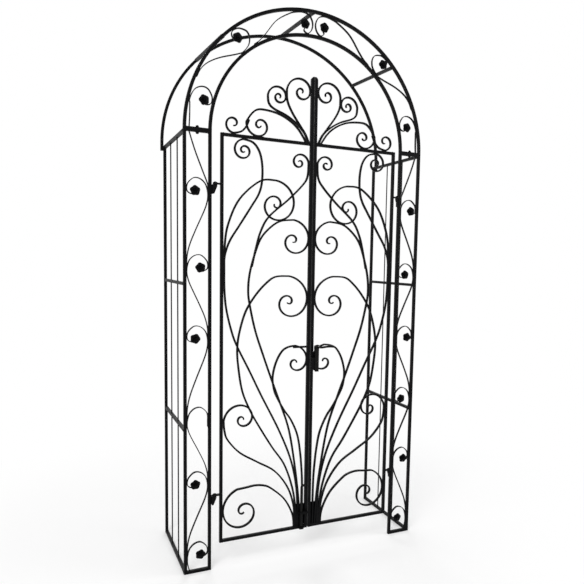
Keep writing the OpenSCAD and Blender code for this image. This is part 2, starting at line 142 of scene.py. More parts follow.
def black_iron(name, base, lift, rough, dents, dent_scale, dust=0.35):
    """Satin black paint over forged bar: soft hammer facets, brush grain and a little dust."""
    n = Nodes(name)
    shader = n.shader
    shader.inputs["Metallic"].default_value = 0.0
    shader.inputs["IOR"].default_value = 1.5
    shader.inputs["Specular IOR Level"].default_value = 0.07
    patches = n.ramp(n.noise(9.0, 4.0, 0.6), (0.35, 0.0), (0.7, 1.0))
    grime = n.ramp(n.noise(46.0, 5.0, 0.65), (0.48, 0.0), (0.72, 1.0))
    colour = n.mix(patches, base, tuple(min(1.0, v * lift) for v in base))
    # dust settles on faces that look up
    normal = n.add("ShaderNodeNewGeometry").outputs["Normal"]
    split = n.add("ShaderNodeSeparateXYZ")
    n.link(normal, split.inputs["Vector"])
    up = n.ramp(split.outputs["Z"], (0.55, 0.0), (1.0, dust))
    dusty = n.mix(grime, 0.35, 1.0)
    amount = n.mix(1.0, up, dusty, "MULTIPLY")
    colour = n.mix(amount, colour, DUST)
    n.link(colour, shader.inputs["Base Color"])
    rough_map = n.ramp(n.noise(30.0, 4.0, 0.6), (0.3, rough - 0.06), (0.75, rough + 0.10))
    rough_map = n.mix(amount, rough_map, 0.78)
    n.link(rough_map, shader.inputs["Roughness"])
    facets = n.bump(n.cells(dent_scale), 0.55 * dents, 0.0016)
    ripple = n.bump(n.noise(150.0, 2.0, 0.5), 0.35 * dents, 0.0007, facets)
    grain = n.bump(n.noise(900.0, 3.0, 0.6), 0.30, 0.00025, ripple)
    n.link(grain, shader.inputs["Normal"])
    return n.mat


def worn_edge_and_highlight(name, base):
    """Paint rubbed thin along an arris, so that dark steel shows through in places; the whole arris
    is also a little lighter than the flat faces, a painted edge highlight.
    """
    n = Nodes(name)
    shader = n.shader
    wear = n.ramp(n.noise(60.0, 5.0, 0.7), (0.5, 0.0), (0.68, 1.0))
    colour = n.mix(wear, base, (0.010, 0.010, 0.011))
    n.link(colour, shader.inputs["Base Color"])
    metal = n.mix(wear, 0.0, 0.3)
    n.link(metal, shader.inputs["Metallic"])
    rough = n.mix(wear, 0.46, 0.36)
    n.link(rough, shader.inputs["Roughness"])
    shader.inputs["Specular IOR Level"].default_value = 0.09
    n.link(n.bump(n.noise(400.0, 3.0, 0.6), 0.3, 0.0003), shader.inputs["Normal"])
    return n.mat


def handled_iron(name, base):
    """Black paint polished by hands, with fine scratches along the bar."""
    n = Nodes(name)
    shader = n.shader
    polish = n.ramp(n.noise(34.0, 4.0, 0.6), (0.35, 0.0), (0.65, 1.0))
    n.link(n.mix(polish, base, (0.009, 0.009, 0.0085)), shader.inputs["Base Color"])
    n.link(n.mix(polish, 0.1, 0.4), shader.inputs["Metallic"])
    n.link(n.mix(polish, 0.44, 0.30), shader.inputs["Roughness"])
    shader.inputs["Specular IOR Level"].default_value = 0.10
    scratches = n.bump(n.noise(500.0, 4.0, 0.7, stretch=(0.12, 1.0, 1.0)), 0.35, 0.0003)
    n.link(scratches, shader.inputs["Normal"])
    return n.mat


INK = (0.0018, 0.0018, 0.0021)
FRAME_IRON = black_iron("frame_iron_paint", INK, 1.5, 0.46, dents=0.75, dent_scale=60.0)
GATE_IRON = black_iron("gate_iron_paint", INK, 1.6, 0.44, dents=0.75, dent_scale=66.0)
SCROLL_IRON = black_iron("scroll_iron_paint", INK, 1.8, 0.44, dents=1.0, dent_scale=95.0)
ROSE_IRON = black_iron("rose_iron_paint", INK, 2.0, 0.42, dents=0.5, dent_scale=160.0, dust=0.5)
WELD_IRON = black_iron("weld_iron_paint", INK, 1.6, 0.52, dents=1.0, dent_scale=260.0)
LATCH_IRON = handled_iron("latch_iron_worn", (0.004, 0.004, 0.004))
# the arris base colour is lighter than INK: a painted edge highlight along every bevel, under the
# worn patches
EDGE_WEAR_AND_HIGHLIGHT = worn_edge_and_highlight("edge_iron_worn_and_highlight", (0.004, 0.004, 0.0045))
KEYHOLE = handled_iron("keyhole_dark", (0.006, 0.005, 0.004))

SLOT_LOOK = {
    "frame_iron": FRAME_IRON,
    "gate_iron": GATE_IRON,
    "scroll_iron": SCROLL_IRON,
    "rose_iron": ROSE_IRON,
    "latch_iron": LATCH_IRON,
}
NODE_SLOT = {s["node"]: s["material_slot"] for s in frame["record"]["subparts"]}
for node, obj in NODES.items():
    obj.data.materials.clear()
    obj.data.materials.append(SLOT_LOOK[NODE_SLOT[node]])


# ---------------------------------------------------------------- mesh helpers

X, Y, Z = Vector((1, 0, 0)), Vector((0, 1, 0)), Vector((0, 0, 1))


def finish_piece(name, bm, body, material):
    """Turns a bmesh into a piece that rides on a body."""
    bmesh.ops.recalc_face_normals(bm, faces=bm.faces)
    mesh = bpy.data.meshes.new(name)
    bm.to_mesh(mesh)
    bm.free()
    mesh.materials.append(material)
    mesh.shade_smooth()
    obj = bpy.data.objects.new(name, mesh)
    bpy.context.scene.collection.objects.link(obj)
    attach(obj, body)
    return obj


def tube_of_rings(bm, rings):
    """Joins rings of points into a skin with a flat end at each side."""
    verts = [[bm.verts.new(p) for p in ring] for ring in rings]
    count = len(verts[0])
    for a, b in zip(verts, verts[1:]):
        for i in range(count):
            j = (i + 1) % count
            bm.faces.new((a[i], a[j], b[j], b[i]))
    bm.faces.new(verts[0])
    bm.faces.new(list(reversed(verts[-1])))


def ring_of(centre, u, v, radius, count=16):
    """Points on a circle about centre, in the plane of u and v."""
    ring = []
    for k in range(count):
        a = 2 * math.pi * k / count
        ring.append(centre + (u * math.cos(a) + v * math.sin(a)) * radius)
    return ring


def lathe(bm, centre, profile, axis="Y", count=20, way=1):
    """A turned shape: profile gives radii and how far each lies towards -Y, or up for axis Z."""
    u, v, out = (X, Z, -Y) if axis == "Y" else (X, Y, Z)
    centre = Vector(centre)
    rings = [ring_of(centre + out * (d * way), u, v, r, count) for r, d in profile]
    tube_of_rings(bm, rings)


DOME = ((1.0, 0.25), (0.93, 0.55), (0.70, 0.84), (0.35, 0.98))  # radius and height, as parts


def disc_head(bm, place, radius, height, axis="Y", count=24, way=1):
    """A domed head with a soft shoulder."""
    profile = [(radius * 0.98, -0.0004)]
    profile += [(radius * r, height * d) for r, d in DOME]
    profile.append((0.0004, height))
    lathe(bm, place, profile, axis, count, way)


CORNER_STEPS = 3


def rounded_profile(wide, thick, radius):
    """Points round a rounded rectangle: along the width first, then along the thickness."""
    points = []
    for sx, sy, start in ((1, 1, 0), (-1, 1, 90), (-1, -1, 180), (1, -1, 270)):
        cx, cy = sx * (wide / 2 - radius), sy * (thick / 2 - radius)
        for i in range(CORNER_STEPS + 1):
            a = math.radians(start + 90 * i / CORNER_STEPS)
            points.append((cx + radius * math.cos(a), cy + radius * math.sin(a)))
    return points


def wobble(s, seed, size):
    """A smooth hand-made unevenness along a bar."""
    slow = math.sin(s * 41.0 + seed * 1.7)
    middle = 0.6 * math.sin(s * 97.0 + seed * 3.1)
    quick = 0.4 * math.sin(s * 173.0 + seed * 5.3)
    return size * (slow + middle + quick)


def heading(path, i):
    """The direction in which a path runs at its point i."""
    return (path[min(i + 1, len(path) - 1)] - path[max(i - 1, 0)]).normalized()


TAPER = 0.03  # length over which a strip thins towards its curled end


def forged_strip(bm, path, y, wide, thick, seed, start_scale=0.72, radius=0.0011):
    """A flat bar bent in the plane at y along path (x, z in metres), its width along Y."""
    path = [Vector(p) for p in path]
    lengths = [0.0]
    for a, b in zip(path, path[1:]):
        lengths.append(lengths[-1] + math.dist(a, b))
    base = rounded_profile(wide, thick, min(radius, thick * 0.45))

    def ring_at(point, along, k_t, k_w, shift=0.0):
        ring = []
        for w, t in base:
            x = point[0] - along[1] * t * k_t + along[0] * shift
            z = point[1] + along[0] * t * k_t + along[1] * shift
            ring.append((x, y + w * k_w, z))
        return ring

    first, last = heading(path, 0), heading(path, len(path) - 1)
    cap = thick * 0.42  # the ends are rounded off over this length
    rings = [
        ring_at(path[0], first, start_scale * 0.42, 0.80, -cap),
        ring_at(path[0], first, start_scale * 0.80, 0.92, -cap * 0.75),
    ]
    for i, point in enumerate(path):
        s = lengths[i]
        scale = start_scale + (1 - start_scale) * min(1.0, s / TAPER)
        k_t = scale + wobble(s, seed, 0.022)
        k_w = 0.5 + 0.5 * scale + wobble(s, seed + 4, 0.010)
        rings.append(ring_at(point, heading(path, i), k_t, k_w))
    rings.append(ring_at(path[-1], last, 0.80, 0.96, cap * 0.4))
    tube_of_rings(bm, rings)


# ---------------------------------------------------------------- the curves of the scrollwork


COIL_STEP = 5.5  # degrees


def coil(c, r0, r1, a0, a1, e):
    """A coil about c, from radius r0 at angle a0 to r1 at a1; it opens faster for a larger e."""
    count = max(24, int(abs(a1 - a0) / COIL_STEP))
    out = []
    for i in range(count + 1):
        t = i / count
        a = math.radians(a0 + (a1 - a0) * t)
        r = r0 + (r1 - r0) * t**e
        out.append((c[0] + r * math.cos(a), c[1] + r * math.sin(a)))
    return out


def spline(a, b, c, d, t):
    """One point of a smooth curve through four neighbours."""
    point = []
    for p, q, r, s in zip(a, b, c, d):
        square = (2 * p - 5 * q + 4 * r - s) * t * t
        cube = (3 * q - 3 * r + s - p) * t**3
        point.append(0.5 * (2 * q + (r - p) * t + square + cube))
    return tuple(point)


STEPS = 7  # between two neighbouring points of a smooth curve


def smooth(points):
    """A smooth curve through the points."""
    n = len(points) - 1
    out = []
    for i in range(n):
        before, after = points[max(i - 1, 0)], points[min(i + 2, n)]
        for j in range(STEPS):
            out.append(spline(before, points[i], points[i + 1], after, j / STEPS))
    out.append(points[n])
    return out


def scroll(curl, stem):
    """A coil that runs on smoothly through the points of its stem."""
    tail = smooth(curl[-2:] + stem)
    return curl[:-1] + tail[STEPS:]


# The scrollwork is drawn in millimetres on a field 404 wide and 1835 high, from the hinge stile
# towards the meeting stile and from the bottom rail up; the crest goes from the top rail up.
# Both are then fitted to the leaf.
SCROLLS = {
    "a": scroll(
        coil((88, 1786), 7, 49, 290, -270, 1.2),
        [
            (132, 1824), (162, 1785), (175, 1725), (174, 1655), (160, 1600), (125, 1541), (71, 1455),
            (27, 1385), (6, 1328), (0, 1285),
        ],
    ),
    "b": scroll(
        coil((241, 1556), 7, 110, -180, 450, 1.5),
        [
            (165, 1657), (70, 1571), (18, 1456), (3, 1360), (1, 1250), (3, 1150), (12, 1070),
            (36, 973), (62, 904), (122, 785), (181, 664), (271, 488), (334, 334), (366, 181),
            (374, -3),
        ],
    ),
    "c": scroll(
        coil((356, 1757), 7, 46, 120, -360, 1.3),
        [(397, 1694), (371, 1652), (303, 1583), (210, 1501), (170, 1430), (147, 1349), (130, 1270)],
    ),
    "d": scroll(
        coil((331, 1394), 7, 97, -90, 450, 1.5),
        [
            (266, 1482), (220, 1454), (175, 1405), (147, 1340), (120, 1240), (113, 1156), (122, 1087),
            (149, 971), (189, 853), (229, 742), (270, 634), (322, 484), (358, 282), (378, 120),
            (385, -3),
        ],
    ),
    "e": scroll(
        coil((311, 1106), 7, 122, -135, 450, 1.8),
        [
            (244, 1224), (199, 1194), (148, 1138), (102, 1064), (74, 973), (63, 894), (68, 811),
            (88, 693), (127, 597), (167, 524), (236, 411), (301, 314), (346, 184), (364, 60),
            (368, -3),
        ],
    ),
    "f": scroll(
        coil((349, 815), 7, 81, 10, 450, 1.7),
        [
            (310, 890), (280, 870), (252, 820), (236, 752), (243, 690), (262, 644), (296, 585),
            (331, 535), (364, 462), (380, 383), (390, 292), (395, 200), (397, -3),
        ],
    ),
    "g": scroll(
        coil((88, 560), 7, 87, 0, 540, 1.7),
        [(5, 512), (20, 468), (77, 402), (164, 346), (250, 291), (316, 205), (350, 108), (361, -3)],
    ),
    "h": scroll(
        coil((95, 114), 7, 115, 300, -255, 1.4),
        [(110, 229), (152, 233), (195, 227), (233, 208), (302, 144), (345, 62), (354, -3)],
    ),
}
CREST = {
    "a": scroll(
        coil((40, 41), 9, 41, -75, 270, 1.1),
        [(75, 10), (98, 34), (111, 64)],
    ),
    "b": scroll(
        coil((160, 46), 7, 62, 330, -190, 1.5),
        [(122, 92), (150, 114), (190, 117), (250, 108), (305, 84), (350, 48), (386, -3)],
    ),
    "c": scroll(
        coil((251, 184), 7, 53, -30, 540, 1.5),
        [(203, 150), (227, 128), (288, 105), (342, 72), (377, 37), (397, -3)],
    ),
    "d": scroll(
        coil((360, 220), 7, 71, -20, 540, 1.45),
        [(292, 172), (315, 124), (354, 70), (382, 33), (400, -3)],
    ),
}

# sizes read back from the frame
post_lo, post_hi = lo_hi("outer_post_right")
inner_lo, inner_hi = lo_hi("inner_post_right")
back_lo, back_hi = lo_hi("back_post_right")
BAR = post_hi.x - post_lo.x
HALF = (post_lo.x + post_hi.x) / 2  # from the middle to an outer post
HALF_IN = (inner_lo.x + inner_hi.x) / 2  # from the middle to an inner post
BAND = HALF - HALF_IN
FRONT_Y = (post_lo.y + post_hi.y) / 2
BACK_Y = (back_lo.y + back_hi.y) / 2
SPRING = post_hi.z
stile_lo, stile_hi = lo_hi("right_hinge_stile")
meet_hi = lo_hi("right_meeting_stile")[1]
LEAF_BAR = stile_hi.x - stile_lo.x
GATE_Y = (stile_lo.y + stile_hi.y) / 2
GATE_Z = stile_lo.z
RAIL_TOP = stile_hi.z
crest_lo, crest_hi = lo_hi("right_crest")
SCROLL_W = crest_hi.y - crest_lo.y
SCROLL_T = 0.008
crook_lo, crook_hi = lo_hi("crooks_right")
STRIP_W = crook_hi.y - crook_lo.y
STRIP_T = 0.004

FIELD_LO = Vector((meet_hi.x + SCROLL_T / 2, GATE_Z + LEAF_BAR + SCROLL_T / 2))
FIELD_HI = Vector((stile_lo.x - SCROLL_T / 2, RAIL_TOP - LEAF_BAR - SCROLL_T / 2))
DRAWN_WIDE, DRAWN_HIGH = 404.0, 1835.0
CREST_HIGH = 265.0
CREST_GAP = 0.035  # the meeting stile goes on this far above the crest's drawn height
CREST_RISE = (meet_hi.z - RAIL_TOP - CREST_GAP) / CREST_HIGH


def fit(p):
    """From a drawn point of the scrolls to x and z on the right leaf."""
    return (
        FIELD_HI.x - p[0] * (FIELD_HI.x - FIELD_LO.x) / DRAWN_WIDE,
        FIELD_LO.y + p[1] * (FIELD_HI.y - FIELD_LO.y) / DRAWN_HIGH,
    )


def fit_up(p):
    """From a drawn point of the crest to x and z on the right leaf."""
    return (fit(p)[0], RAIL_TOP + SCROLL_T / 2 + p[1] * CREST_RISE)


for side, s in SIDES.items():
    for group, curves, place in (("scrolls", SCROLLS, fit), ("crest", CREST, fit_up)):
        for number, (key, points) in enumerate(curves.items()):
            bm = bmesh.new()
            path = [(s * x, z) for x, z in map(place, points)]
            seed = number + (0 if s < 0 else 9)
            forged_strip(bm, path, GATE_Y, SCROLL_W, SCROLL_T, seed)
            name = f"{side}_{group}_{key}"
            finish_piece(name, bm, side + "_leaf", SCROLL_IRON)
        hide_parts(f"{side}_{group}")

# ---------------------------------------------------------------- crooks and roses of the arch

SIDE_ROSES = 6
TOP_ROSE = SPRING - 0.288
LOW_ROSE = 0.087
PITCH = (TOP_ROSE - LOW_ROSE) / (SIDE_ROSES - 1)
ARC_R = HALF - BAND / 2
ROSE_A = (14.0, 48.5, 84.8)  # the arch's roses, in degrees from the springing
CLEAR = BAR / 2 + STRIP_T / 2

# A crook is drawn as (u, v): u runs across the band from one post (0) to the other (1),
# v is the rise above its rose, in metres.
HOOK_RISE = (BAND - BAR) / 94.0
HOOK_POINTS = (
    (0.38, -6), (0.26, -14), (0.12, -11), (0.02, -2), (0.0, 14), (0.08, 34),
    (0.34, 54), (0.62, 52), (0.86, 34), (0.97, 8), (1, -20),
)
HOOK = [(u, v * HOOK_RISE) for u, v in HOOK_POINTS]
STUB = [(0, -0.034), (0, -0.010)] + HOOK[4:]  # a hook that has lost its curl
STEM_POINTS = ((0.96, 0.14), (0.83, 0.25), (0.43, 0.5), (0.14, 0.7), (0.01, 0.86), (0.0, 1.0))
FIRST_POINTS = (
    (0.96, 0.07), (0.88, 0.2), (0.88, 0.32), (0.82, 0.38), (0.58, 0.54),
    (0.23, 0.735), (0.01, 0.86), (0, 0.94),
)
# the crook at the crown, as angle from the springing and u
APEX_POINTS = (
    (85.3, 0.7), (84.3, 0.86), (86.2, 1), (88.4, 0.84), (89.25, 0.56), (88.7, 0.3), (87.3, 0.1),
    (84.6, 0), (81, 0.02), (77.5, 0.1), (70.4, 0.36), (62.3, 0.82), (58, 0.97), (54.6, 1),
)


def drop(points, rise):
    """The tail of a crook, which falls by rise in all."""
    return [(u, -v * rise) for u, v in points]


def across(u, near):
    """How far inwards from the outer post's middle; near is 1 where u starts at that post."""
    v = CLEAR + u * (BAND - 2 * CLEAR)
    return v if near > 0 else BAND - v


def arc_s(a):
    return ARC_R * math.radians(a)


def in_band(v, s):
    """x and z at v inwards from the outer post, s along the band from the springing."""
    if s > 0:
        a = s / ARC_R
        return ((HALF - v) * math.cos(a), SPRING + (HALF - v) * math.sin(a))
    return (HALF - v, SPRING + s)


def crook_at(s, near, tail, head=HOOK):
    return smooth([in_band(across(u, near), s + v) for u, v in head + tail])


first_rise = SPRING - TOP_ROSE + arc_s(ROSE_A[0])
arch_crooks = [
    crook_at(arc_s(ROSE_A[0]), -1, drop(FIRST_POINTS, first_rise)),
    crook_at(arc_s(ROSE_A[1]), 1, drop(STEM_POINTS, arc_s(26))),
    smooth([in_band(across(u, 1), arc_s(a)) for a, u in APEX_POINTS]),
]
low_tail = [(0.98, (-LOW_ROSE + BAR) * 0.6), (0.9, -LOW_ROSE + BAR - MM)]
# the left side's roses hang a little off the even spacing, and its fourth crook has lost its
# curl and its rose
LIFT = {"left": [0.028, 0.019, 0.028, -0.017, 0.009, 0.0], "right": [0.0] * SIDE_ROSES}
LOST = {"left": 3, "right": -1}


def near_of(i):
    """The crooks of a side start at the outer and at the inner post by turns."""
    return 1 if i % 2 == 0 else -1


def rose_s(side, i):
    return TOP_ROSE - i * PITCH - SPRING + LIFT[side][i]


def side_crooks(side):
    paths = []
    for i in range(SIDE_ROSES - 1):
        rise = PITCH + LIFT[side][i] - LIFT[side][i + 1]
        head = STUB if i == LOST[side] else HOOK
        paths.append(crook_at(rose_s(side, i), near_of(i), drop(STEM_POINTS, rise), head))
    paths.append(crook_at(LOW_ROSE - SPRING, -1, low_tail))
    return paths


def crook_strips(bm, s, paths, first_seed):
    for number, path in enumerate(paths):
        path = [(s * x, z) for x, z in path]
        seed = first_seed + number
        forged_strip(bm, path, FRONT_Y, STRIP_W, STRIP_T, seed, start_scale=0.85, radius=0.0009)


for side, s in SIDES.items():
    bm = bmesh.new()
    crook_strips(bm, s, side_crooks(side), 20)
    crooks = finish_piece(f"{side}_crook_strips", bm, "arch", SCROLL_IRON)
    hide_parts(f"crooks_{side}")
bm = bmesh.new()
for s in SIDES.values():
    crook_strips(bm, s, arch_crooks, 30)
crooks = finish_piece("arch_crook_strips", bm, "arch", SCROLL_IRON)
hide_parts("crooks_arch")

ROSE_R = 0.025
PETAL_CELLS = 8  # across a petal, and along it
# rows of petals, from the back: count, turn in degrees, reach and width as parts of the rose's
# radius, rise, curl of the tip, thickness, height of the foot, and how much every other one lifts
PETALS = (
    (5, 0, 0.97, 0.60, 0.0052, -0.0022, 0.0011, 0.0006, 0.0005),
    (5, 36, 0.64, 0.42, 0.0060, 0.0004, 0.0010, 0.0026, 0.0),
    (3, 10, 0.36, 0.29, 0.0058, 0.0022, 0.0010, 0.0046, 0.0),
)
ROSE_CUP = (
    (0.0020, -0.0030), (0.0062, -0.0022), (0.0085, -0.0004),
    (0.0086, 0.0012), (0.0050, 0.0030), (0.0010, 0.0034),
)


def petal_point(u, v, turn, reach, width, rise, curl):
    """Along and across the petal and its depth, for u from -1 to 1 and v from foot to tip."""
    # a broad round petal with a shallow notch at its tip
    half_w = width * math.sin(math.pi * min(1.0, 0.16 + 0.70 * v)) ** 0.75 * (1 - 0.10 * v)
    notch = 0.07 * math.exp(-((u * 3.2) ** 2)) * v
    tip = reach * (1 - 0.13 * u * u * (0.4 + v) - notch)
    along = reach * 0.10 + (tip - reach * 0.10) * v
    cup = 0.16 * rise * (1 - u * u) * math.sin(v * math.pi)
    ripple = 0.05 * rise * math.sin(u * 7.0 + turn) * v
    depth = rise * math.sin(v * math.pi * 0.62) + curl * v**3 - cup + ripple
    return along, half_w * u, depth


def petal(bm, centre, turn, reach, width, rise, curl, thick, base):
    """One cupped petal that grows from the rose's middle towards turn; its front looks to -Y."""
    n = PETAL_CELLS
    c, s = math.cos(turn), math.sin(turn)
    lower, upper = [], []
    for layer, rows in enumerate((lower, upper)):
        for j in range(n + 1):
            row = []
            for i in range(n + 1):
                a, b, depth = petal_point(2 * i / n - 1, j / n, turn, reach, width, rise, curl)
                x, z = centre[0] + a * c - b * s, centre[2] + a * s + b * c
                row.append(bm.verts.new((x, centre[1] - depth - base - layer * thick, z)))
            rows.append(row)
    for j in range(n):
        for i in range(n):
            q, p = j + 1, i + 1
            bm.faces.new((upper[j][i], upper[j][p], upper[q][p], upper[q][i]))
            bm.faces.new((lower[j][i], lower[q][i], lower[q][p], lower[j][p]))
    rim = [(0, i) for i in range(n)] + [(j, n) for j in range(n)]
    rim += [(n, i) for i in range(n, 0, -1)] + [(j, 0) for j in range(n, 0, -1)]
    for (j, i), (q, p) in zip(rim, rim[1:] + rim[:1]):
        bm.faces.new((lower[j][i], lower[q][p], upper[q][p], upper[j][i]))


def rolled_heart(bm, centre, tilt):
    """A strip rolled up on itself, in the middle of the rose."""
    turns, steps, half_t, low = 2.4, 40, 0.0004, 0.0045
    rings = []
    for k in range(steps + 1):
        t = k / steps
        a = tilt + t * turns * 2 * math.pi
        r = 0.0012 + 0.0030 * t
        high = 0.0128 - 0.0022 * t
        ring = []
        for edge, depth in ((1, low), (1, high), (-1, high), (-1, low)):
            reach = r + edge * half_t
            x, z = centre[0] + reach * math.cos(a), centre[2] + reach * math.sin(a)
            ring.append((x, centre[1] - depth, z))
        rings.append(ring)
    tube_of_rings(bm, rings)


def rose(bm, x, z, seed):
    """A stamped rose: a back cup, three rows of petals and a rolled heart."""
    centre = (x, FRONT_Y - STRIP_W / 2, z)
    tilt = math.radians(18) + 0.35 * math.sin(seed * 2.3)
    lathe(bm, centre, ROSE_CUP)
    for count, turn, reach, width, rise, curl, thick, foot, lift in PETALS:
        for i in range(count):
            a = tilt + math.radians(360 / count * i + turn)
            base = foot + lift * (i % 2)
            petal(bm, centre, a, ROSE_R * reach, ROSE_R * width, rise, curl, thick, base)
    rolled_heart(bm, centre, tilt)


def rose_piece(name, x, z, seed):
    bm = bmesh.new()
    rose(bm, x, z, seed)
    return finish_piece(name, bm, "arch", ROSE_IRON)


ROSE_U = 0.375
CROWN_ROSE_U = 0.58
arch_roses = [
    in_band(across(ROSE_U, -1), arc_s(ROSE_A[0])),
    in_band(across(ROSE_U, 1), arc_s(ROSE_A[1])),
    in_band(across(CROWN_ROSE_U, 1), arc_s(ROSE_A[2])),
]
for side, s in SIDES.items():
    for i in range(SIDE_ROSES):
        if i == LOST[side]:
            continue
        x, z = in_band(across(ROSE_U, near_of(i)), rose_s(side, i))
        piece = rose_piece(f"rose_{side}_{i}", s * x, z, i + (3 if s > 0 else 11))
        if i == 0:
            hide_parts(f"roses_{side}")
    for i, (x, z) in enumerate(arch_roses):
        piece = rose_piece(f"rose_arch_{side}_{i}", s * x, z, i + (5 if s > 0 else 17))
        if i == 0 and s > 0:
            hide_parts("roses_arch")

# ---------------------------------------------------------------- bars with broken arrises

NODE_BODY = {n: b for b, ns in frame["record"]["behaviour"]["bodies"].items() for n in ns}
ARRIS = {"lock_face": 0.0006, "left_catch": 0.0007, "left_plate": 0.0006, "right_plate": 0.0006}
USUAL_ARRIS = 0.0013
BAR_NAMES = ("outer_arch", "inner_arch", "back_arch", "roof_bars")
BAR_NAMES += ("bolt_guides", "lock_case", "lock_face")
BAR_STARTS = ("ties_", "side_rails_", "brackets_")
BAR_ENDS = ("_stile", "_rails", "_straps", "_plate", "_catch")


def is_bar(node):
    by_name = "post" in node or node in BAR_NAMES
    return by_name or node.startswith(BAR_STARTS) or node.endswith(BAR_ENDS)


def softened(node, width):
    """A copy of a CAD node with a small round on its sharp edges, in an edge material of its own:
    worn paint and a painted edge highlight.
    """
    bm = bmesh.new()
    bm.from_mesh(NODES[node].data)
    bmesh.ops.remove_doubles(bm, verts=bm.verts, dist=0.00002)
    bmesh.ops.dissolve_limit(
        bm,
        angle_limit=math.radians(1.0),
        use_dissolve_boundaries=False,
        verts=bm.verts,
        edges=bm.edges,
    )
    inner = [e for e in bm.edges if len(e.link_faces) == 2]
    sharp = [e for e in inner if e.calc_face_angle(0.0) > math.radians(50)]
    result = bmesh.ops.bevel(
        bm,
        geom=sharp,
        offset=width,
        offset_type="OFFSET",
        segments=2,
        profile=0.6,
        affect="EDGES",
        clamp_overlap=True,
        material=-1,
    )
    # the round's faces take the arris material: worn paint and a painted edge highlight
    for face in result["faces"]:
        face.material_index = 1
    for face in bm.faces:
        face.smooth = True
    for edge in bm.edges:
        edge.smooth = True
    name = node + "_forged"
    mesh = bpy.data.meshes.new(name)
    bm.to_mesh(mesh)
    bm.free()
    mesh.materials.append(SLOT_LOOK[NODE_SLOT[node]])
    mesh.materials.append(EDGE_WEAR_AND_HIGHLIGHT)
    obj = bpy.data.objects.new(name, mesh)
    bpy.context.scene.collection.objects.link(obj)
    normals = obj.modifiers.new("normals", "WEIGHTED_NORMAL")
    normals.keep_sharp = True
    normals.weight = 60
    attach(obj, NODE_BODY[node])
    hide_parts(node)


for node in sorted(filter(is_bar, NODES)):
    softened(node, ARRIS.get(node, USUAL_ARRIS))

# ---------------------------------------------------------------- welds

# radii of the welds
BEAD = {
    "rail": 0.0021,
    "rail_side": 0.0019,
    "tie": 0.0020,
    "splice": 0.0011,
    "crook": 0.0017,
    "arch_crook": 0.0016,
    "roof": 0.0019,
    "stile": 0.0019,
    "stile_side": 0.0017,
    "scroll": 0.0018,
    "scroll_foot": 0.0016,
    "crest_coil": 0.0017,
    "plate": 0.0018,
    "bracket": 0.0018,
    "strap": 0.0016,
}
WELD_STEP = 0.0011  # between two rings
WELD_SCALE = 0.0030  # from one scale of the seam to the next


def weld(bm, a, b, radius, seed):
    """A run of weld from a to b: overlapping scales that crown along the seam."""
    a, b = Vector(a), Vector(b)
    along = (b - a).normalized()
    u = along.orthogonal().normalized()
    v = along.cross(u)
    length = (b - a).length
    count = max(5, int(length / WELD_STEP))
    rings = []
    for i in range(count + 1):
        t = i / count
        end = min(1.0, min(t, 1 - t) * length / (radius * 0.9) + 0.18)
        scales = 0.13 * math.sin(t * length / WELD_SCALE * 2 * math.pi)
        drift = 0.08 * math.sin(seed * 7.1 + t * 9.0)
        size = radius * end**0.5 * (1 + scales + drift)
        rings.append(ring_of(a + along * (length * t), u, v, size, 8))
    tube_of_rings(bm, rings)


def weld_about(bm, middle, reach, radius, seed):
    """A weld that goes by reach to both sides of its middle."""
    middle = Vector(middle)
    weld(bm, middle - reach, middle + reach, radius, seed)


def weld_square(bm, x, y, z, half, radius, seed):
    """Weld round a square bar that meets a face of constant z."""
    turns = ((-1, -1), (1, -1), (1, 1), (-1, 1))
    corners = [(x + half * i, y + half * j) for i, j in turns]
    for i, (p, q) in enumerate(zip(corners, corners[1:] + corners[:1])):
        weld(bm, (*p, z), (*q, z), radius, seed + i)


rail_lo, rail_hi = lo_hi("side_rails_right")
RAIL = rail_hi.x - rail_lo.x
RAIL_Z = (0.0, 0.668, 1.327, SPRING - RAIL)  # the undersides of a side's rails
# where a rod meets a rail: the height, and 1 where the rod stands on it or -1 where it hangs
ROD_ENDS = [(z, -1) for z in RAIL_Z[1:]] + [(z + RAIL, 1) for z in RAIL_Z[:-1]]
ROD_Y = [FRONT_Y + (BACK_Y - FRONT_Y) * k / 3 for k in (1, 2)]
ROD_COLLAR = ((0.0034, -0.0004), (0.0052, 0.0), (0.0047, 0.0009), (0.0032, 0.0017))
HEAD = 0.010  # the faces of the two head flats lie this far from the springing
BAND_EDGES = (HALF_IN + BAR / 2, HALF - BAR / 2)  # the faces of the posts that look into the band
STRIP_EDGES = (FRONT_Y - STRIP_W / 2, FRONT_Y + STRIP_W / 2)
SCROLL_EDGES = (GATE_Y - SCROLL_W / 2, GATE_Y + SCROLL_W / 2)
STRIP_TOUCHES = STRIP_T / 2 + 0.0004
SCROLL_TOUCHES = SCROLL_T / 2 + 0.0007


def nearest_edge(v):
    return min(BAND_EDGES, key=lambda edge: abs(edge - v))


def tacks(bm, x, z, edges, reach, radius, seed):
    """The same short weld at the front and at the back edge of a flat bar."""
    for y in edges:
        weld_about(bm, (x, y, z), reach, radius, seed)


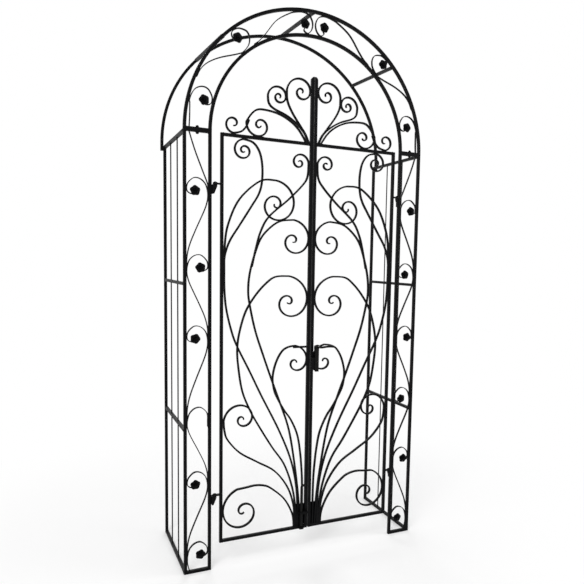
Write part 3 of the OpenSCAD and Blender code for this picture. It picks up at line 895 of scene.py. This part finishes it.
for side, s in SIDES.items():
    bm = bmesh.new()
    seed = 0
    inset = RAIL / 2 - MM
    for z0 in RAIL_Z:
        for y in (FRONT_Y + BAR / 2, BACK_Y - BAR / 2):
            for z in (z0, z0 + RAIL):
                if z > 0:
                    seed += 1
                    weld_about(bm, (s * HALF, y, z), X * (s * inset), BEAD["rail"], seed)
            for x in (HALF - RAIL / 2, HALF + RAIL / 2):
                seed += 1
                middle = (s * x, y, z0 + RAIL / 2)
                weld_about(bm, middle, Z * inset, BEAD["rail_side"], seed)
    for y in ROD_Y:
        for z, way in ROD_ENDS:
            lathe(bm, (s * HALF, y, z), ROD_COLLAR, "Z", 14, way)
    # foot tie and head flats between the posts
    for z in (BAR, SPRING - HEAD, SPRING + HEAD):
        for x in BAND_EDGES:
            seed += 1
            weld_about(bm, (s * x, FRONT_Y, z), Y * (BAR / 2 - MM), BEAD["tie"], seed)
    # the front posts are spliced to their arches
    for x in (HALF, HALF_IN):
        weld_square(bm, s * x, FRONT_Y, SPRING, BAR / 2 - 0.0005, BEAD["splice"], seed)
    # crooks on the posts, where each strip runs along a post
    for path in side_crooks(side):
        for index, (x, z) in enumerate(path):
            edge = nearest_edge(x)
            if abs(x - edge) < STRIP_TOUCHES and index % 9 == 0:
                tacks(bm, s * edge, z, STRIP_EDGES, Z * 0.007, BEAD["crook"], index)
    finish_piece(f"{side}_frame_welds", bm, "arch", WELD_IRON)

bm = bmesh.new()
for path in arch_crooks:
    for index, (x, z) in enumerate(path):
        r = math.hypot(x, z - SPRING)
        edge = nearest_edge(r)
        if z < SPRING + 0.02 or abs(r - edge) >= STRIP_TOUCHES or index % 7:
            continue
        a = math.atan2(z - SPRING, x)
        for s in SIDES.values():
            for y in STRIP_EDGES:
                ends = []
                for d in (-0.006, 0.006):
                    b = a + d / edge
                    ends.append((s * edge * math.cos(b), y, SPRING + edge * math.sin(b)))
                weld(bm, *ends, BEAD["arch_crook"], index)
# the roof bars, where they meet the front arch and lie on the back one
BACK_LIFT = 0.016
for lean in (-46, 0, 46):
    a = math.radians(90 - lean)
    out, turn = Vector((math.cos(a), 0, math.sin(a))), Vector((-math.sin(a), 0, math.cos(a)))
    for r, y, lift in ((HALF, FRONT_Y + BAR / 2, 0.0), (HALF + BAR, BACK_Y - BAR / 2, BACK_LIFT)):
        centre = Vector((0, y, SPRING + lift)) + out * r
        for u, v in ((out, turn), (-out, turn), (turn, out), (-turn, out)):
            weld_about(bm, centre + u * RAIL / 2, v * (RAIL * 0.45), BEAD["roof"], lean + 60)
finish_piece("arch_welds", bm, "arch", WELD_IRON)

RAIL_FACES = (GATE_Z, GATE_Z + LEAF_BAR, RAIL_TOP - LEAF_BAR, RAIL_TOP)
TACK_PITCH = 0.045
for side, s in SIDES.items():
    bm = bmesh.new()
    seed = 50
    inset = LEAF_BAR / 2 - MM
    for x, faces in ((stile_lo.x, RAIL_FACES), (meet_hi.x, RAIL_FACES[:-1])):
        for z in faces:
            seed += 1
            weld_about(bm, (s * x, GATE_Y, z), Y * inset, BEAD["stile"], seed)
        for y in (GATE_Y - LEAF_BAR / 2, GATE_Y + LEAF_BAR / 2):
            for z in (GATE_Z, RAIL_TOP - LEAF_BAR):
                seed += 1
                middle = (s * x, y, z + LEAF_BAR / 2)
                weld_about(bm, middle, Z * inset, BEAD["stile_side"], seed)
    # scrolls tacked where they lie against a stile
    for points in SCROLLS.values():
        last_z = 0.0
        for index, (x, z) in enumerate(map(fit, points)):
            for edge in (stile_lo.x, meet_hi.x):
                touching = abs(x - edge) < SCROLL_TOUCHES and z > GATE_Z + 0.30
                if touching and abs(z - last_z) > TACK_PITCH:
                    last_z = z
                    tacks(bm, s * edge, z, SCROLL_EDGES, Z * 0.008, BEAD["scroll"], index)
    # feet of the scrolls on the bottom rail, and of the crest on the top rail
    foot = X * (s * SCROLL_T / 2)
    for key in "bdefgh":
        x = fit(SCROLLS[key][-2])[0]
        tacks(bm, s * x, GATE_Z + LEAF_BAR, SCROLL_EDGES, foot, BEAD["scroll_foot"], 3)
    for key in "bcd":
        x = fit_up(CREST[key][-2])[0]
        tacks(bm, s * x, RAIL_TOP, SCROLL_EDGES, foot, BEAD["scroll_foot"], 5)
    # coils of the crest that rest on the top rail
    for drawn_x in (40, 172):
        x = fit((drawn_x, 0))[0]
        tacks(bm, s * x, RAIL_TOP, SCROLL_EDGES, X * (s * 0.009), BEAD["crest_coil"], 6)
    # plates behind the feet of the scrolls
    plate_lo, plate_hi = lo_hi(side + "_plate")
    for x in (plate_lo.x + 0.012, (plate_lo.x + plate_hi.x) / 2, plate_hi.x - 0.012):
        weld_about(bm, (x, plate_lo.y + MM, plate_hi.z), X * 0.005, BEAD["plate"], 8)
    finish_piece(f"{side}_leaf_welds", bm, side + "_leaf", WELD_IRON)

# ---------------------------------------------------------------- hinges, latch and bolt

STRAP_T = 0.0075
WASHER = ((0.0063, 0.0002), (0.0098, 0.0002), (0.0100, 0.0008), (0.0098, 0.0016), (0.0066, 0.0018))
for side, s in SIDES.items():
    pin_x, pin_y, _ = JOINTS[side + "_leaf_hinge"]["pos_m"]
    strap_lo, strap_hi = lo_hi(side + "_straps")
    bracket_hi = lo_hi("brackets_" + side)[1]
    post_x = s * (HALF_IN - BAR / 2)
    bm = bmesh.new()
    welds = bmesh.new()
    for top in (strap_hi.z, strap_lo.z + STRAP_T):
        # washer and the peened end of the pin above the strap's eye
        lathe(bm, (pin_x, pin_y, top), WASHER, "Z", 28)
        disc_head(bm, (pin_x, pin_y, top + 0.0016), 0.0066, 0.0036, "Z")
        # weld of the bracket's foot on the post
        for y in (FRONT_Y - BAR / 2, bracket_hi.y):
            ends = [(post_x, y, top - 0.044), (post_x, y, top - 0.011)]
            weld(welds, *ends, BEAD["bracket"], 2)
        for z in (top - STRAP_T, top):
            middle = (s * stile_hi.x, GATE_Y, z)
            weld_about(welds, middle, Y * (LEAF_BAR / 2 - MM), BEAD["strap"], 4)
    finish_piece(f"{side}_hinge_pin_heads", bm, "arch", FRAME_IRON)
    finish_piece(f"{side}_hinge_welds", welds, "arch", WELD_IRON)

# hexagon nuts that clamp the two head flats of each side
NUT_WASHER = ((0.0075, 0.0), (0.0088, 0.0002), (0.0088, 0.0012), (0.0075, 0.0014))
NUT = ((0.0064, 0.0014), (0.0069, 0.0022), (0.0069, 0.0062), (0.0060, 0.0070))
THREAD_END = 0.0168
for side, s in SIDES.items():
    bm = bmesh.new()
    x = s * (HALF - BAND / 2)
    for way, height in ((1, 0.0026), (-1, 0.0020)):
        seat = (x, FRONT_Y, SPRING + HEAD * way)
        lathe(bm, seat, NUT_WASHER, "Z", 28, way)
        lathe(bm, seat, NUT, "Z", 6, way)
        disc_head(bm, (x, FRONT_Y, SPRING + THREAD_END * way), 0.0034, height, "Z", 18, way)
    finish_piece(f"{side}_head_nuts", bm, "arch", FRAME_IRON)

# lock: screws and keyhole rim
face_lo, face_hi = lo_hi("lock_face")
face_x = (face_lo.x + face_hi.x) / 2
lever_x, _, lever_z = JOINTS["lever_turn"]["pos_m"]
KEY_DROP = 0.076
KEY_RIM = (
    (0.0041, -0.0028), (0.0041, 0.0004), (0.0046, 0.0012),
    (0.0060, 0.0014), (0.0066, 0.0009), (0.0067, 0.0),
)
bm = bmesh.new()
for z in (face_lo.z + 0.009, face_lo.z + 0.033, face_hi.z - 0.030):
    disc_head(bm, (face_x, face_lo.y, z), 0.0034, 0.0016, count=22)
finish_piece("lock_screws", bm, "right_leaf", LATCH_IRON)
bm = bmesh.new()
lathe(bm, (face_x, face_lo.y, lever_z - KEY_DROP), KEY_RIM, count=30)
finish_piece("keyhole_rim", bm, "right_leaf", KEYHOLE)

# lever: a collar at the lock's face, a neck that bends over and a grip with a rounded tip
lever_lo, lever_hi = lo_hi("lever")
COLLAR = (
    (0.0060, 0.0), (0.0098, 0.0), (0.0100, 0.0010), (0.0094, 0.0024),
    (0.0078, 0.0032), (0.0060, 0.0040), (0.0054, 0.0052), (0.0050, 0.0080),
)
NECK_R = 0.0050
BEND = 0.012
BEND_STEPS = 8
GRIP_STEPS = 16
bm = bmesh.new()
lathe(bm, (lever_x, face_lo.y - 0.0003, lever_z), COLLAR, count=36)
lever_y = lever_lo.y + 0.005
tip_x = lever_hi.x - 0.005
start = Vector((lever_x, face_lo.y - 0.004, lever_z))
bend_from = Vector((start.x, lever_y + BEND, start.z))
path = [start.lerp(bend_from, t) for t in (0.0, 0.35, 0.7, 1.0)]
for k in range(1, BEND_STEPS + 1):
    a = math.radians(90 * k / BEND_STEPS)
    x, y = start.x + BEND * (1 - math.cos(a)), lever_y + BEND * (1 - math.sin(a))
    path.append(Vector((x, y, start.z)))
radii = [NECK_R] * len(path)
for k in range(1, GRIP_STEPS + 1):
    t = k / GRIP_STEPS
    x = start.x + BEND + (tip_x - start.x - BEND) * t
    arch = 0.0030 * math.sin(t * math.pi * 0.8)
    path.append(Vector((x, lever_y, start.z + arch)))
    waist = 0.0003 * math.sin(t * math.pi * 0.9)
    radii.append(0.0054 - waist + 0.0020 * max(0.0, t - 0.75))
rings = []
for i, (p, r) in enumerate(zip(path, radii)):
    u = heading(path, i).cross(Z).normalized()
    rings.append(ring_of(p, u, Z, r))
for f, g in ((0.0022, 0.88), (0.0036, 0.62), (0.0043, 0.25)):
    rings.append(ring_of(path[-1] + X * f, -Y, Z, radii[-1] * g))
tube_of_rings(bm, rings)
lever_piece = finish_piece("lever_handle", bm, "lever", LATCH_IRON)
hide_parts("lever")

# drop bolt: a round bar with a bent grip
bolt_lo, bolt_hi = lo_hi("drop_bolt")
BOLT_R = (bolt_hi.y - bolt_lo.y) / 2
bolt_x, bolt_y = bolt_lo.x + BOLT_R, (bolt_lo.y + bolt_hi.y) / 2
bolt_top = bolt_hi.z - BOLT_R
GRIP_BEND = 0.009
NOSE = 0.006  # length of the rounded lower end
SHANK_STEPS, GRIP_END_STEPS = 12, 4
shank_lo, shank_hi = bolt_lo.z + NOSE, bolt_top - GRIP_BEND
path = []
for k in range(SHANK_STEPS + 1):
    path.append(Vector((bolt_x, bolt_y, shank_lo + (shank_hi - shank_lo) * k / SHANK_STEPS)))
for k in range(1, BEND_STEPS + 1):
    a = math.radians(90 * k / BEND_STEPS)
    x, z = bolt_x + GRIP_BEND * (1 - math.cos(a)), bolt_top - GRIP_BEND * (1 - math.sin(a))
    path.append(Vector((x, bolt_y, z)))
grip_x = bolt_x + GRIP_BEND
for k in range(1, GRIP_END_STEPS + 1):
    x = grip_x + (bolt_hi.x - 0.004 - grip_x) * k / GRIP_END_STEPS
    path.append(Vector((x, bolt_y, bolt_top)))
foot = Vector((bolt_x, bolt_y, bolt_lo.z))
rings = [ring_of(foot, X, Y, 0.0016), ring_of(foot + Z * 0.0022, X, Y, 0.0040)]
for i, p in enumerate(path):
    v = heading(path, i).cross(Y).normalized()
    rings.append(ring_of(p, v, Y, BOLT_R * (1.0 + wobble(i * 0.01, 7, 0.01))))
for f, g in ((0.0018, 0.86), (0.0031, 0.6), (0.0038, 0.25)):
    rings.append(ring_of(path[-1] + X * f, -Z, Y, BOLT_R * g))
bm = bmesh.new()
tube_of_rings(bm, rings)
bolt_piece = finish_piece("drop_bolt_bar", bm, "drop_bolt", LATCH_IRON)
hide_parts("drop_bolt")

# ---------------------------------------------------------------- camera, light, floor

# the camera stands where the photo's does, left of the gate, and looks a little down
CAM_AT = (-1.1376, -2.9579, 1.4445)
YAW, TILT, ROLL = -0.4621, -0.0964, 0.0238
LENS = 37.9726  # mm, on a sensor 36 mm wide
SHIFT = (-0.10274, 0.05137)  # parts of the picture's width
forward = Vector(
    (-math.sin(YAW) * math.cos(TILT), math.cos(YAW) * math.cos(TILT), math.sin(TILT))
)
right = Vector((math.cos(YAW), math.sin(YAW), 0))
up = right.cross(forward)
right, up = (
    math.cos(ROLL) * right + math.sin(ROLL) * up,
    math.cos(ROLL) * up - math.sin(ROLL) * right,
)
cam_data = bpy.data.cameras.new("camera")
cam_data.sensor_width = 36.0
cam_data.lens = LENS
cam_data.shift_x, cam_data.shift_y = SHIFT
cam_data.clip_start, cam_data.clip_end = 0.05, 100.0
camera = bpy.data.objects.new("camera", cam_data)
turned = Matrix((right, up, -forward)).transposed().to_4x4()
camera.matrix_world = Matrix.Translation(CAM_AT) @ turned
bpy.context.scene.collection.objects.link(camera)
bpy.context.scene.camera = camera

LIT = Vector((0, 0, 1.2))  # the point that the lights face


def area_light(name, place, size, power):
    data = bpy.data.lights.new(name, "AREA")
    data.shape = "RECTANGLE"
    data.size, data.size_y = size
    data.energy = power
    obj = bpy.data.objects.new(name, data)
    obj.location = place
    obj.rotation_mode = "QUATERNION"
    obj.rotation_quaternion = (LIT - Vector(place)).to_track_quat("-Z", "Y")
    bpy.context.scene.collection.objects.link(obj)


area_light("key_light", (-3.4, -4.2, 4.6), (2.4, 2.4), 210)
area_light("fill_light", (4.6, -2.6, 3.0), (3.0, 3.0), 90)
area_light("back_light", (1.0, 5.0, 4.2), (3.0, 2.0), 110)


def seen_directly(tree):
    """1 for the rays that show a surface to the eye: camera, glossy and transmission rays."""
    rays = tree.nodes.new("ShaderNodeLightPath")
    total = rays.outputs["Is Camera Ray"]
    for name in ("Is Glossy Ray", "Is Transmission Ray"):
        plus = tree.nodes.new("ShaderNodeMath")
        plus.operation = "ADD"
        plus.use_clamp = True
        tree.links.new(total, plus.inputs[0])
        tree.links.new(rays.outputs[name], plus.inputs[1])
        total = plus.outputs[0]
    return total


WORLD_LIGHT = 0.55
world = bpy.data.worlds.new("studio")
world.use_nodes = True
tree = world.node_tree
shade = tree.nodes["Background"]
white = tree.nodes.new("ShaderNodeBackground")
white.inputs["Color"].default_value = (1, 1, 1, 1)
white.inputs["Strength"].default_value = 1.0
shade.inputs["Color"].default_value = (1, 1, 1, 1)
shade.inputs["Strength"].default_value = WORLD_LIGHT
pick = tree.nodes.new("ShaderNodeMixShader")
tree.links.new(seen_directly(tree), pick.inputs["Fac"])
tree.links.new(shade.outputs["Background"], pick.inputs[1])
tree.links.new(white.outputs["Background"], pick.inputs[2])
tree.links.new(pick.outputs["Shader"], tree.nodes["World Output"].inputs["Surface"])
bpy.context.scene.world = world

# a wide pale floor: it keeps the soft shadow near the object and runs out to pure white
FLOOR_SIZE, FLOOR_CELLS = 16.0, 24
FLOOR_GAP = 0.0005  # the floor lies this far under the feet
FADE_FROM, FADE_TO = 0.9, 2.3  # distances from the middle of the object
NEAR_GLOW = 0.3
bm = bmesh.new()
bmesh.ops.create_grid(bm, x_segments=FLOOR_CELLS, y_segments=FLOOR_CELLS, size=FLOOR_SIZE)
mesh = bpy.data.meshes.new("floor")
bm.to_mesh(mesh)
bm.free()
floor = bpy.data.objects.new("floor", mesh)
floor.location.z = -FLOOR_GAP
bpy.context.scene.collection.objects.link(floor)
n = Nodes("floor_white")
n.shader.inputs["Base Color"].default_value = (0.93, 0.93, 0.93, 1)
n.shader.inputs["Roughness"].default_value = 0.9
n.shader.inputs["Specular IOR Level"].default_value = 0.1
far = n.add("ShaderNodeVectorMath", operation="LENGTH")
n.link(n.coord, far.inputs[0])
fade = n.add("ShaderNodeMapRange", interpolation_type="SMOOTHSTEP")
fade.inputs["From Min"].default_value = FADE_FROM
fade.inputs["From Max"].default_value = FADE_TO
fade.inputs["To Min"].default_value = NEAR_GLOW
n.link(far.outputs["Value"], fade.inputs["Value"])
amount = n.add("ShaderNodeMath", operation="MULTIPLY")
n.link(seen_directly(n.tree), amount.inputs[0])
n.link(fade.outputs["Result"], amount.inputs[1])
glow = n.add("ShaderNodeEmission")
glow.inputs["Color"].default_value = (1, 1, 1, 1)
glow.inputs["Strength"].default_value = 1.0
blend = n.add("ShaderNodeMixShader")
n.link(amount.outputs[0], blend.inputs["Fac"])
n.link(n.shader.outputs["BSDF"], blend.inputs[1])
n.link(glow.outputs["Emission"], blend.inputs[2])
n.link(blend.outputs["Shader"], n.tree.nodes["Material Output"].inputs["Surface"])
floor.data.materials.append(n.mat)

bpy.context.scene.view_settings.view_transform = "Standard"
